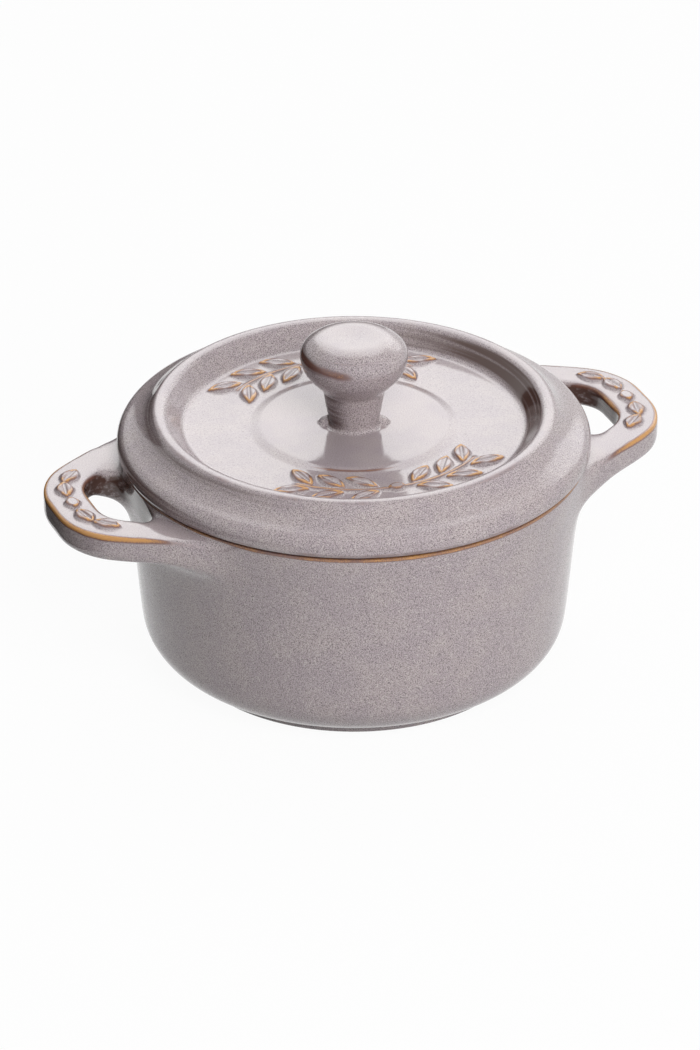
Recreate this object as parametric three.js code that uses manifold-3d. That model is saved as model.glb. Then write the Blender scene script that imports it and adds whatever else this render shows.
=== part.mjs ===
// A mini cocotte: a small round lidded pot of glazed stoneware.
// The pot is one fired piece with its two loop handles, and the lid is one fired piece with its knob.
// Units are millimetres, +Z is up, and the handles lie along X.
// The origin is the centre of the pot's foot, on the surface that it stands on.
import * as THREE from "three";
import { mergeVertices } from "three/addons/utils/BufferGeometryUtils.js";
import Module from "manifold-3d";

const wasm = await Module();
wasm.setup();

// Pot
const POT_HEIGHT = 51.5; // foot to the seat on top of the rim
const WALL_RADIUS = 47.2; // outside of the wall, carried down to the underside of the body
const WALL_LEAN = 4.9; // degrees that the wall leans out towards the rim
const WALL_THICKNESS = 5.2;
const FLOOR_THICKNESS = 5.4;
const BELLY_FILLET = 10.6; // outside corner between wall and underside
const INSIDE_FILLET = 9; // the same corner in the hollow
const RIM_OVERHANG = 0.6; // how far the rim stands out past the leaning wall
const RIM_DEPTH = 4; // straight band of the rim
const RIM_COVE = 5; // height of the hollow curve under that band
const RIM_FILLET = 1; // rounding along both top edges of the rim
const FOOT_RADIUS = 39;
const FOOT_HEIGHT = 2.2;
const FOOT_WIDTH = 3.6;
const FOOT_FILLET = 0.6;

// Handles
const HANDLE_REACH = 71.6; // pot's axis to the end of a handle
const HANDLE_DROP = 0.9; // seat on the rim down to the flat top of a handle
const HANDLE_THICKNESS = 6.8;
const HANDLE_BAND = 9.3; // width of the loop at its end
const HANDLE_SHOULDER = 13.2; // half the width where the end turns into the arms
const HANDLE_END_FILLET = 17.5;
const HOLE_HALF_WIDTH = 11.8;
const HOLE_FILLET = 8;
const HANDLE_TOP_FILLET = 1.1;
const HANDLE_UNDER_FILLET = 2.7;
const HANDLE_ROOT_DEPTH = 5.2; // the rim's outside down to the circle that the arms run on to
const HANDLE_ROOT_FILLET = 8; // hollow curve from the underside of an arm into the wall
const HANDLE_ROOT_EASE = 0.7; // share of that curve that fades out towards the sides of an arm
const HOLE_ROOT_FILLET = 3; // corner between the hole and the wall, seen from above

// Lid
const SEAT_GAP = 0.3; // between the rim and the lid that rests on it
const LID_OVERHANG = 0.9; // how far the lid stands out past the rim
const LID_EDGE_HEIGHT = 4.4; // upright edge of the lid
const LID_EDGE_FILLET = 3.2; // rounding along the top of that edge
const LID_SEAT_FILLET = 1.4; // rounding along the bottom of that edge
const SHOULDER_WIDTH = 5.4; // sloping ledge between the edge and the ridge
const SHOULDER_RISE = 1.7;
const SHOULDER_FILLET = 5; // hollow curve from that ledge up to the ridge
const RIDGE_RUN = 2.4; // how far the outside of the ridge leans in
const RIDGE_TOP = 2.9; // width of the ridge between the corners that it is rounded from
const RIDGE_HEIGHT = 9.5; // lid's underside to the top of the ridge
const RIDGE_FILLET = 2.1;
const WELL_SLOPE = 3.4; // how far the inside of the ridge leans in
const WELL_DEPTH = 4.4; // top of the ridge down to the sunken band inside it
const WELL_FILLET = 4.5;
const DISC_RADIUS = 21; // raised disc in the middle of the lid
const DISC_RUN = 1.8; // how far the edge of the disc slopes out
const DISC_STEP = 0.6;
const DISC_FILLET = 2;
const LID_THICKNESS = 4.8;
const COLLAR_CLEARANCE = 1.2; // between the mouth of the pot and the lid's collar
const COLLAR_WIDTH = 3.4;
const COLLAR_DEPTH = 3.8; // how far the collar reaches into the mouth
const COLLAR_FILLET = 1;

// Knob
const KNOB_STEM_FOOT = 5.5; // radius of the stem where it stands on the disc
const KNOB_STEM_TOP = 7; // radius of the stem where the head begins
const KNOB_STEM_HEIGHT = 8.8;
const KNOB_STEM_FILLET = 1;
const KNOB_NECK_FILLET = 2.2; // hollow curve from the stem out to the head
const KNOB_BELLY_RADIUS = 11.3; // corners that the head is rounded from: the lowest
const KNOB_BELLY_RISE = 4.7; // above the stem
const KNOB_RADIUS = 12.5; // the widest corner
const KNOB_SIDE_RISE = 4.8; // above the lowest
const KNOB_TOP_RADIUS = 8.5; // the top corner
const KNOB_TOP_RISE = 3.2; // above the widest
const KNOB_FILLET = 7;
const KNOB_DIMPLE = 0.25; // the shallow hollow in the middle of the head
const LUG_RADIUS = 1.5; // two small lugs stand beside the foot of the stem
const LUG_ANGLE = -22; // degrees from +X

// Facets
const TURN_STEPS = 60; // facets in a full turn
const FACET_SAG = 0.12; // how far a facet of a rounded corner may stand off its arc
const SECTION_STEPS = 2; // facets in a rounded corner of a handle's section
const UNDERSIDE_SHARES = [0.35, 0.5, 0.65]; // points across the underside of a handle's section
const HANDLE_STEPS = 20; // sections along each half of a handle
const LUG_STEPS = 8; // facets round a lug

const glaze = new THREE.MeshStandardMaterial({ color: 0xb0a6a8, roughness: 0.25, metalness: 0 });

// A line through corners [x, y, radius], with the corners that have a radius rounded by an arc.
// A rounding is limited to what the two sides beside its corner can hold.
// An arc has the facets that it needs, or a set count where lines have to match point for point.
function roundedLine(corners, setSteps) {
  const at = corners.map(([x, y]) => new THREE.Vector2(x, y));
  const points = [];
  corners.forEach(([, , radius], i) => {
    if (!radius) {
      points.push(at[i]);
      return;
    }
    const last = (i + corners.length - 1) % corners.length;
    const next = (i + 1) % corners.length;
    const toLast = at[last].clone().sub(at[i]);
    const toNext = at[next].clone().sub(at[i]);
    const half = toLast.angleTo(toNext) / 2;
    const room = (side, other) => side.length() / (corners[other][2] ? 2 : 1);
    const reach = Math.min(radius / Math.tan(half), room(toLast, last), room(toNext, next));
    const bulge = reach * Math.tan(half);
    const centre = toLast.clone().normalize().add(toNext.clone().normalize());
    centre.setLength(bulge / Math.sin(half)).add(at[i]);
    const start = toLast.setLength(reach).add(at[i]).sub(centre);
    const end = toNext.setLength(reach).add(at[i]).sub(centre);
    const turn = Math.atan2(start.cross(end), start.dot(end));
    const facet = 2 * Math.acos(Math.max(0, 1 - FACET_SAG / bulge));
    const steps = setSteps ?? Math.ceil(Math.abs(turn) / facet);
    for (let k = 0; k <= steps; k++) {
      points.push(start.clone().rotateAround(new THREE.Vector2(), (turn * k) / steps).add(centre));
    }
  });
  return points;
}

// A closed geometry as a solid that can be joined and cut.
function solidOf(geometry) {
  geometry.deleteAttribute("normal");
  geometry.deleteAttribute("uv");
  const merged = mergeVertices(geometry, 1e-4);
  const corners = merged.index.array;
  const triVerts = [];
  for (let i = 0; i < corners.length; i += 3) {
    const [a, b, c] = corners.slice(i, i + 3);
    if (a !== b && b !== c && c !== a) {
      triVerts.push(a, b, c);
    }
  }
  return new wasm.Manifold(
    new wasm.Mesh({
      numProp: 3,
      vertProperties: merged.attributes.position.array,
      triVerts: new Uint32Array(triVerts),
    }),
  );
}

// A profile of [radius, height] points, turned about the Z axis.
function turned(profile) {
  return solidOf(new THREE.LatheGeometry(profile, TURN_STEPS).rotateX(Math.PI / 2));
}

// A skin stretched over rings of points that all have the same count, with both ends closed.
function lofted(rings) {
  const count = rings[0].length;
  const geometry = new THREE.BufferGeometry().setFromPoints(rings.flat());
  const index = [];
  const vertex = (ring, i) => ring * count + (i % count);
  for (let ring = 0; ring + 1 < rings.length; ring++) {
    for (let i = 0; i < count; i++) {
      index.push(vertex(ring, i), vertex(ring + 1, i + 1), vertex(ring, i + 1));
      index.push(vertex(ring, i), vertex(ring + 1, i), vertex(ring + 1, i + 1));
    }
  }
  const last = rings.length - 1;
  for (let i = 1; i + 1 < count; i++) {
    index.push(vertex(0, 0), vertex(0, i), vertex(0, i + 1));
    index.push(vertex(last, 0), vertex(last, i + 1), vertex(last, i));
  }
  return solidOf(geometry.setIndex(index));
}

function meshOf(name, solid) {
  const { vertProperties, triVerts } = solid.getMesh();
  const geometry = new THREE.BufferGeometry();
  geometry.setAttribute("position", new THREE.BufferAttribute(vertProperties, 3));
  geometry.setIndex(new THREE.BufferAttribute(triVerts, 1));
  geometry.computeVertexNormals();
  const mesh = new THREE.Mesh(geometry, glaze);
  mesh.name = name;
  return mesh;
}

// Outside and inside radius of the pot's leaning wall at a height.
const wallOutside = (z) => WALL_RADIUS + (z - FOOT_HEIGHT) * Math.tan(THREE.MathUtils.degToRad(WALL_LEAN));
const wallInside = (z) => wallOutside(z) - WALL_THICKNESS;

const floorHeight = FOOT_HEIGHT + FLOOR_THICKNESS;
const rimBand = POT_HEIGHT - RIM_DEPTH;
const rimRadius = wallOutside(POT_HEIGHT) + RIM_OVERHANG;
const mouthRadius = wallInside(POT_HEIGHT);
const handleTop = POT_HEIGHT - HANDLE_DROP;

function potBody() {
  const coveFoot = rimBand - RIM_COVE;
  const outside = [
    [0, FOOT_HEIGHT],
    [WALL_RADIUS, FOOT_HEIGHT, BELLY_FILLET],
    [wallOutside(coveFoot), coveFoot, 2 * RIM_COVE],
    [rimRadius, rimBand, RIM_COVE],
    [rimRadius, POT_HEIGHT, RIM_FILLET],
    [0, POT_HEIGHT],
  ];
  return turned(roundedLine(outside));
}

// The foot ring starts inside the floor, so that it joins the body without a seam.
function footRing() {
  const inner = FOOT_RADIUS - FOOT_WIDTH;
  const joined = FOOT_HEIGHT + FLOOR_THICKNESS / 2;
  const ring = [
    [inner, joined],
    [inner, 0, FOOT_FILLET],
    [FOOT_RADIUS, 0, FOOT_FILLET],
    [FOOT_RADIUS, joined],
    [inner, joined],
  ];
  return turned(roundedLine(ring));
}

// What the pot is hollowed with: it opens through the rim.
function hollow() {
  const inside = [
    [0, floorHeight],
    [wallInside(floorHeight), floorHeight, INSIDE_FILLET],
    [mouthRadius, POT_HEIGHT - RIM_FILLET, RIM_FILLET],
    [mouthRadius + RIM_FILLET * 2, POT_HEIGHT + RIM_FILLET],
    [0, POT_HEIGHT + RIM_FILLET],
  ];
  return turned(roundedLine(inside));
}

// Evenly spaced points along half an outline, from the end of the handle to its root inside the wall.
function halfOutline(corners) {
  const path = new THREE.Path(roundedLine(corners));
  return path.getSpacedPoints(HANDLE_STEPS);
}

// How far the underside of an arm sweeps down at a distance from the pot's axis, to run into the wall.
function rootSweep(radius) {
  const toWall = radius - wallOutside(handleTop - HANDLE_THICKNESS);
  const left = THREE.MathUtils.clamp(HANDLE_ROOT_FILLET - toWall, 0, HANDLE_ROOT_FILLET);
  return HANDLE_ROOT_FILLET - Math.sqrt(HANDLE_ROOT_FILLET ** 2 - left ** 2);
}

// One handle on the +X side: a flat-topped band lofted between the outlines of the loop and of its hole.
// The sides of the loop run straight from its end to a circle just under the skin of the wall.
function handle() {
  const root = rimRadius - HANDLE_ROOT_DEPTH;
  const holeEnd = HANDLE_REACH - HANDLE_BAND;
  const shoulder = new THREE.Vector2(HANDLE_REACH, HANDLE_SHOULDER);
  const tangent = shoulder.angle() + Math.acos(root / shoulder.length());
  const outer = halfOutline([
    [HANDLE_REACH, 0],
    [HANDLE_REACH, HANDLE_SHOULDER, HANDLE_END_FILLET],
    [root * Math.cos(tangent), root * Math.sin(tangent)],
  ]);
  const inner = halfOutline([
    [holeEnd, 0],
    [holeEnd, HOLE_HALF_WIDTH, HOLE_FILLET],
    [rimRadius, HOLE_HALF_WIDTH, HOLE_ROOT_FILLET],
    [root, HOLE_HALF_WIDTH - HOLE_ROOT_FILLET],
  ]);
  const sectionAt = (step, side) => {
    const from = inner[step];
    const across = outer[step].clone().sub(from);
    const width = across.length();
    const under = -HANDLE_THICKNESS;
    const section = roundedLine(
      [
        [width / 2, 0],
        [0, 0, HANDLE_TOP_FILLET],
        [0, under, HANDLE_UNDER_FILLET],
        ...UNDERSIDE_SHARES.map((share) => [width * share, under]),
        [width, under, HANDLE_UNDER_FILLET],
        [width, 0, HANDLE_TOP_FILLET],
      ],
      SECTION_STEPS,
    );
    return section.map(({ x, y }) => {
      const plan = across.clone().multiplyScalar(x / width).add(from);
      const eased = 1 - HANDLE_ROOT_EASE * (2 * (x / width) - 1) ** 2;
      const depth = (y / HANDLE_THICKNESS) * (HANDLE_THICKNESS + eased * rootSweep(plan.length()));
      return new THREE.Vector3(plan.x, side * plan.y, handleTop + depth);
    });
  };
  const rings = [];
  for (let step = -HANDLE_STEPS; step <= HANDLE_STEPS; step++) {
    rings.push(sectionAt(Math.abs(step), Math.sign(step)));
  }
  return lofted(rings);
}

function pot() {
  const oneHandle = handle();
  const handles = oneHandle.add(oneHandle.rotate([0, 0, 180]));
  return potBody().add(footRing()).add(handles).subtract(hollow());
}

function lid() {
  const seat = POT_HEIGHT + SEAT_GAP;
  const edge = rimRadius + LID_OVERHANG;
  const ledge = edge - SHOULDER_WIDTH;
  const ridgeTop = seat + RIDGE_HEIGHT;
  const ridgeOutside = ledge - RIDGE_RUN;
  const ridgeInside = ridgeOutside - RIDGE_TOP;
  const well = ridgeInside - WELL_SLOPE;
  const wellFloor = ridgeTop - WELL_DEPTH;
  const discTop = wellFloor + DISC_STEP;
  const collar = mouthRadius - COLLAR_CLEARANCE;
  const collarInside = collar - COLLAR_WIDTH;
  const collarEnd = seat - COLLAR_DEPTH;
  const stemTop = discTop + KNOB_STEM_HEIGHT;
  const belly = stemTop + KNOB_BELLY_RISE;
  const side = belly + KNOB_SIDE_RISE;
  const headTop = side + KNOB_TOP_RISE;
  const profile = [
    [0, discTop - LID_THICKNESS],
    [DISC_RADIUS, discTop - LID_THICKNESS, DISC_RADIUS],
    [collarInside, wellFloor - LID_THICKNESS, COLLAR_FILLET],
    [collarInside, collarEnd, COLLAR_FILLET],
    [collar, collarEnd, COLLAR_FILLET],
    [collar, seat, COLLAR_FILLET / 2],
    [edge, seat, LID_SEAT_FILLET],
    [edge, seat + LID_EDGE_HEIGHT, LID_EDGE_FILLET],
    [ledge, seat + LID_EDGE_HEIGHT + SHOULDER_RISE, SHOULDER_FILLET],
    [ridgeOutside, ridgeTop, RIDGE_FILLET],
    [ridgeInside, ridgeTop, RIDGE_FILLET],
    [well, wellFloor, WELL_FILLET],
    [DISC_RADIUS + DISC_RUN, wellFloor, DISC_FILLET],
    [DISC_RADIUS, discTop, DISC_FILLET],
    [KNOB_STEM_FOOT, discTop, KNOB_STEM_FILLET],
    [KNOB_STEM_TOP, stemTop, KNOB_NECK_FILLET],
    [KNOB_BELLY_RADIUS, belly, KNOB_FILLET],
    [KNOB_RADIUS, side, KNOB_FILLET],
    [KNOB_TOP_RADIUS, headTop, KNOB_FILLET],
    [0, headTop - KNOB_DIMPLE],
  ];
  const lugHeight = discTop + LUG_RADIUS / 4;
  const lug = (turn) =>
    solidOf(
      new THREE.SphereGeometry(LUG_RADIUS, LUG_STEPS, LUG_STEPS / 2)
        .translate(KNOB_STEM_FOOT + LUG_RADIUS / 4, 0, lugHeight)
        .rotateZ(THREE.MathUtils.degToRad(LUG_ANGLE + turn)),
    );
  return turned(roundedLine(profile)).add(lug(0)).add(lug(180));
}

const cocotte = new THREE.Group();
cocotte.add(meshOf("pot", pot()), meshOf("lid", lid()));

export default cocotte;
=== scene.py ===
"""A mini cocotte of glazed stoneware: a round pot with two loop handles, and its knobbed lid."""

import math

import bmesh
import bpy
import numpy as np
from bpy.props import FloatProperty, FloatVectorProperty, PointerProperty
from mathutils import Matrix, Vector


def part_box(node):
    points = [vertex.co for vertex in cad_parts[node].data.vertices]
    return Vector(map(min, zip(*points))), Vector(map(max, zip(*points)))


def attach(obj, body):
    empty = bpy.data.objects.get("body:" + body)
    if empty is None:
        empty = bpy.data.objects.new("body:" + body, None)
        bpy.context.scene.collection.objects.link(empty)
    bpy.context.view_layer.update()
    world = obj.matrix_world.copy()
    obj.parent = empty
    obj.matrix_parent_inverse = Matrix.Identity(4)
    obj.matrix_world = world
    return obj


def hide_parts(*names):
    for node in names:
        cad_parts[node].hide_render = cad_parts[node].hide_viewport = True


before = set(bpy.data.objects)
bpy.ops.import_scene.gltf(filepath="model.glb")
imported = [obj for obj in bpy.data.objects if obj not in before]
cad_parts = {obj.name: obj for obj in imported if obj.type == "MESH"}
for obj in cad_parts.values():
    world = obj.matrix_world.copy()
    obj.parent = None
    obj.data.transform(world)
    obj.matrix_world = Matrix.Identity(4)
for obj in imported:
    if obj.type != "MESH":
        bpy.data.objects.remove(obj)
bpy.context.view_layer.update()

bl_info = {
    "name": "Mini Cocotte",
    "version": (1, 0, 0),
    "blender": (4, 5, 0),
    "location": "View3D > Sidebar > Cocotte",
    "description": "Models a small lidded stoneware pot and sets up its studio",
    "category": "Mesh",
}

MM = 0.001
_, POT_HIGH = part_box("pot")
LID_LOW, LID_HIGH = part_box("lid")

# Pot, in millimetres
WALL_LEAN = math.radians(4.9)
WALL_RADIUS = 47.2  # outside of the wall, carried down to the underside of the body
FLOOR_THICKNESS = 5.4
BELLY_FILLET = 10.6
INSIDE_FILLET = 9
RIM_EDGE = 0.9  # rounding of the rim's top edges
RIM_CORNER = 0.35 * RIM_EDGE  # points of the cage beside those edges: the nearer ones
RIM_FLAT = 2 * RIM_EDGE  # the farther ones
FOOT_RADIUS = 39
FOOT_HEIGHT = 2.2
FOOT_WIDTH = 3.6
FOOT_EDGE = 0.6
BARE_HEIGHT = 0.2  # the foot is bare clay up to here
UNDERSIDE_POINTS = (6, 1)  # where the cage holds the underside flat, inside the foot ring
HOLLOW_SPAN = 16  # longest span of the cage inside the pot

# Handles, in millimetres
HANDLE_DROP = 0.9  # top of the rim down to the flat top of a handle
HANDLE_SHOULDER = 13.2  # half the width where the end turns into the arms
HANDLE_END_FILLET = 17.5
HANDLE_TRIM = 0.1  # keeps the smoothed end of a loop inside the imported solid's
HOLE_HALF_WIDTH = 11.8
HOLE_FILLET = 8
ROOT_DEPTH = 5.2  # the rim's outside down to the circle that the arms run on to
ROOT_SWEEP = 3.4  # how far the root reaches down the wall past the underside of an arm
ROOT_RUN = 6  # how far out along the arm that sweep fades
ROOT_SWELL = 0.1  # keeps the wall beside the roots from hollowing
HOLE_EASE = 1.2  # how much higher the underside lies beside the hole

# Lid, in millimetres
SEAT_GAP = 0.3
LID_EDGE_HEIGHT = 4.2
LID_EDGE_FILLET = 4  # upper edge
LID_SEAT_FILLET = 1.4  # lower edge
SHOULDER_WIDTH = 5.4
SHOULDER_RISE = 2.1
SHOULDER_FILLET = 10  # hollow between the shoulder and the ridge
RIDGE_RUN = 3  # how far the outside of the ridge leans in
RIDGE_TOP = 2.3
RIDGE_HEIGHT = 9.8
RIDGE_FILLET = 1.7  # outer edge of the crest
RIDGE_INSIDE_FILLET = 2.3
WELL_SLOPE = 4
WELL_DEPTH = 4.7
WELL_FILLET = 2.2
DISC_RADIUS = 21
DISC_RUN = 2.4  # how far the edge of the disc slopes out
DISC_STEP = 0.6
DISC_FILLET = 3
LID_THICKNESS = 4.8
COLLAR_RADIUS = 45.03
COLLAR_WIDTH = 3.4
COLLAR_FILLET = 1
STEM_FOOT = 5.5
STEM_TOP = 7
STEM_HEIGHT = 8.8
STEM_FILLET = 1
NECK_FILLET = 2.2  # hollow between the stem and the head of the knob
KNOB_BELLY_RADIUS = 11.3  # corners that the head is rounded from: the lowest
KNOB_BELLY_RISE = 4.7  # above the stem
KNOB_SIDE_RISE = 4.8  # the widest, above the lowest
KNOB_TOP_RADIUS = 8.5  # the top one
KNOB_TOP_RISE = 3.2  # above the widest
KNOB_FILLET = 7
KNOB_DIMPLE = 0.25
LUG_ANGLE = math.radians(-22)
LUG_PLACE = 6.2  # from the lid's axis
LUG_RADIUS = 1.7
LUG_HEIGHT = 1.5
LUG_ZONE = 3  # how far up from the disc a lug may bulge the skin
LUG_SPLIT_REACH = 1.3 * LUG_RADIUS  # from the middle of a lug out to where the fine points begin

# Raised leaves, in millimetres
LID_SPRAYS = (math.radians(-94.5), math.radians(84.5))  # middle of the two sprays round the knob
LID_SPRAY_RADIUS = 30.8
LID_LEAF_NODES = 3  # pairs of leaves on each side of a spray's middle
LID_LEAF_STEP = math.radians(14)
LID_LEAF = (9.4, 4.8)  # length and width
LID_LEAF_TILT = math.radians(34)
LID_LEAF_SPREAD = 3.2  # from the stalk out to the middle of a leaf
LID_BERRY = 4
STALK_WIDTH = 1.2
STALK_END = 2  # length over which a stalk sinks at its ends
STALK_PAST = 0.2  # how far it runs past the last leaves, in steps
STALK_HEIGHT = 0.55  # share of the leaves' height
HANDLE_LEAF = (7.6, 5)
HANDLE_LEAF_STEP = 6.4
HANDLE_LEAF_COUNT = 2  # on each side of a handle's berry
HANDLE_BERRY = 4.4
LEAF_EDGE = 1  # how wide the rounded flank of a leaf is
LEAF_RIB = 0.3  # half the width of the groove along a leaf
RIB_DEPTH = 0.45  # share of the leaf's height
RIB_ENDS = (0.9, 0.6)  # where the groove ends and is full, from the middle of a leaf to its tip
BERRY_POINT = 0.5  # shape of an outline's ends: round
LEAF_POINT = 1  # pointed

# Patterns in the glaze and the clay, in millimetres, with the grains as fine as still shows
GRAIN_WIDTH = 0.23
CLOUD_WIDTH = 8
STREAK_WIDTH = 0.9
STREAK_DRIFT = 0.03  # how much a streak changes on its way round the axis
RIPPLE_WIDTH = 2.5
RIPPLE_DEPTH = 0.05
GRIT_WIDTH = 0.3
GRIT_DEPTH = 0.05

# In the pairs of values below, something starts at the first and is full at the second

# How the grains melt into level glaze
LEVEL_GLAZE = (0.9, 0.995)  # upward part of the skin's direction
LEVEL_CALM = 0.45
GRAIN_MIDDLE = 0.52

# How the glaze breaks where the skin bends outwards, by the bend per millimetre
LEAF_BEND = 0.66  # share of its break on the handles' edges that it has on leaves
LID_BEND = 0.6  # the same for the lid's rounded edges
RIM_SHADED_BEND = 0.72  # the most it breaks on the rim, held low so the rim shows brown there as painted shade under the lid
BREAK_CLOUDS = 0.6  # how much the clouds and the grains shift it
BREAK_GRAINS = 0.5
BREAK_UPWARD = (-0.5, -0.1)  # upward part of the skin's direction on the pot
POT_SPREAD = 6  # rounds of neighbours that a bend is spread over
FINE_SPREAD = 2  # the same on the lid and the leaves

# Painted shade, umber with streaks, on the steep faces inside the loops, where shade falls in the holes
LOOP_SHADE = 1.1
LOOP_STEEP = (0.8, 0.4)  # upward or downward part of the skin's direction
LOOP_FACING = (0.2, 0.7)  # part of it that looks into the hole
LOOP_LOW = (-1, 1)  # above the underside of the handle, in millimetres
LOOP_HIGH = (0.5, -0.5)  # above its top
LOOP_REACH = (3, 1)  # past half the width of the hole

# Painted shade, umber with streaks, on the lid's steep slopes, stem and knob where they look to one side,
# the left,
# away from the key light: how far, and by the part of the skin's direction that looks that way
SHADE_SIDE = math.radians(160)
SHADE_STEEP = (0.9, 0.55)  # upward part of the skin's direction
RIDGE_INSIDE_SHADE = 1.6
RIDGE_OUTSIDE_SHADE = 0.9
RIDGE_SHARE = (-0.15, 0.85)
EDGE_SHADE = 0.8
EDGE_SHARE = (0.45, 0.95)
STEM_SHADE = 0.8
STEM_SHARE = (0, 0.9)
KNOB_SHADE = 1
KNOB_SHARE = (0.4, 0.9)
RIDGE_ZONE = 0.5  # the ridge's slope counts from this far below the shoulder's corner, in millimetres
WELL_ZONE = 2  # the well's from this far below the disc
STEM_ZONE = 0.3  # the stem's from this far above it

# Belt of thin glaze round one side of the knob, which rises and widens towards the middle of that side
KNOB_SIDE = math.radians(173)
KNOB_BREAK = 0.57
BELT_SHARE = (-0.05, 0.55)
BELT_RISE = 0.35
BELT_WIDTH = 0.2
BELT_SPREAD = 0.35

# Arc of the disc's edge on which the glaze breaks
DISC_BREAK = 0.72
DISC_BREAK_MIDDLE = math.radians(-112)
DISC_BREAK_ENDS = (math.radians(40), math.radians(12))  # away from its middle
DISC_BREAK_WIDTH = 0.6

# Facets
CAGE_TURN = 30  # sides of the pot's cage: the root of an arm takes two of them
CAGE_LEVELS = 3
HANDLE_SPANS = 12  # from the end of a handle to the end of its outline inside the wall
HANDLE_SECTIONS = 7  # how many of those spans lie clear of the wall
EDGE_CREASES = (0.3, 0.4)  # inner and outer top edge of a loop
CREASE_START = 1  # those edges get crisp from here, beyond the rim
CREASE_RUN = 5
LID_TURN = 240
BAND_STEP = 0.8  # spacing of the lid's points where the raised leaves are, before they are split
BAND_CUTS = 2
BAND_REACH = 7.5  # from the stalks out to the last of those points
BAND_DEPTH = 3  # lowest of them, below the disc
BAND_MARGIN = 11  # from the lid's edge in to where leaves may stand
UPWARD = 0.5  # least upward part of the skin's direction where they do
UNDERSIDE_SPAN = 5  # longest spans along the lid's section: its underside
COLLAR_SPAN = 2
SKIN_SPAN = 1
STEM_SPAN = 0.6
LUG_SPAN = 0.35
BELLY_STEP = math.radians(15)  # turn between points round curves: the pot's belly
HOLLOW_STEP = math.radians(18)  # the inside of the pot
OUTLINE_STEP = math.radians(4)  # the handles' outlines
LID_STEP = math.radians(8)  # the lid
LINE_SPANS = 400  # along the middle of a handle, to place its leaves
END_ZONE = 3  # how far back beside a hole the skin of a handle is split for its leaves
HANDLE_TOP = (-0.4, -0.1)  # height against a handle's top at which the skin counts as that top
ROOT_FACES = 16  # faces of the wall that the four arms grow from
FIT_ROUNDS = 8  # after which a smoothed outline runs through its points
LEVEL_MARGIN = 0.1  # how far off a level face a point may lie and still count as on it
MERGE = 1e-4  # points nearer than this are one
TINY = 1e-6  # keeps a division from failing


def linear(code):
    """A colour written as an sRGB hex value, in the linear light that shaders take."""
    parts = [int(code[i:i + 2], 16) / 255 for i in (1, 3, 5)]
    return tuple(c / 12.92 if c <= 0.04045 else ((c + 0.055) / 1.055) ** 2.4 for c in parts)


def length(name, default, description):
    return FloatProperty(name=name, description=description, default=default, unit="LENGTH", precision=5)


def colour(name, default, description):
    return FloatVectorProperty(
        name=name, description=description, default=linear(default), subtype="COLOR", min=0, max=1
    )


class CocotteSizes(bpy.types.PropertyGroup):
    """Sizes of the pot and its lid"""

    pot_height: length("Pot height", POT_HIGH.z, "Foot to the top of the rim")
    rim_radius: length("Rim radius", POT_HIGH.y, "Outside of the rim")
    wall_thickness: length("Wall", 5.2 * MM, "Thickness of the pot's wall")
    handle_reach: length("Handle reach", POT_HIGH.x, "Pot's axis to the end of a handle")
    handle_thickness: length("Handle thickness", 6.8 * MM, "Top of a handle to its underside")
    handle_band: length("Handle band", 9.3 * MM, "Width of the loop at its end")
    lid_radius: length("Lid radius", LID_HIGH.y, "Outside of the lid's edge")
    collar_depth: length("Collar", POT_HIGH.z + SEAT_GAP * MM - LID_LOW.z, "How far the lid reaches in")
    knob_radius: length("Knob radius", 12.5 * MM, "Widest corner that the knob's head is rounded from")
    leaf_height: length("Leaf height", 0.85 * MM, "How far the raised leaves stand up")


class CocotteColours(bpy.types.PropertyGroup):
    """Colours of the glaze, the bare clay and the studio"""

    glaze: colour("Glaze", "#ab9fa0", "Main colour of the glaze")
    glaze_lilac: colour("Lilac glaze", "#a4989c", "Where the glaze drifts to lilac")
    glaze_dark: colour("Dark grains", "#756b6e", "Dark grains in the glaze")
    glaze_light: colour("Light grains", "#cbc3bf", "Light grains in the glaze")
    amber: colour("Amber", "#c08c50", "Where the glaze is thinnest, on sharp edges")
    # Umber is also painted shade: on the lid's slopes that look left, away from the key light, and inside
    # the loops
    umber_and_shade: colour("Umber", "#4f3933", "Streaks where the glaze ran off steep slopes")
    brown: colour("Brown", "#704a40", "Where the glaze begins to thin")
    clay: colour("Clay", "#cdbfae", "Bare foot ring")
    grit: colour("Grit", "#a8987f", "Darker grit in the bare clay")
    felt: colour("Felt", "#262626", "Felt that the gloss shows")
    floor: colour("Floor", "#d8d8d8", "Studio floor")


def node(tree, kind, inputs=None, **settings):
    """Adds a node, sets its settings, and fills its inputs with values or links."""
    made = tree.nodes.new(kind)
    for name, value in settings.items():
        setattr(made, name, value)
    for socket, value in (inputs or {}).items():
        if isinstance(value, bpy.types.NodeSocket):
            tree.links.new(value, made.inputs[socket])
        else:
            made.inputs[socket].default_value = value
    return made


def empty_material(name):
    material = bpy.data.materials.new(name)
    material.use_nodes = True
    material.node_tree.nodes.clear()
    return material, material.node_tree


def per_metre(size):
    """Scale of a noise whose grains are about this many millimetres wide."""
    return 1 / (size * MM)


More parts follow.
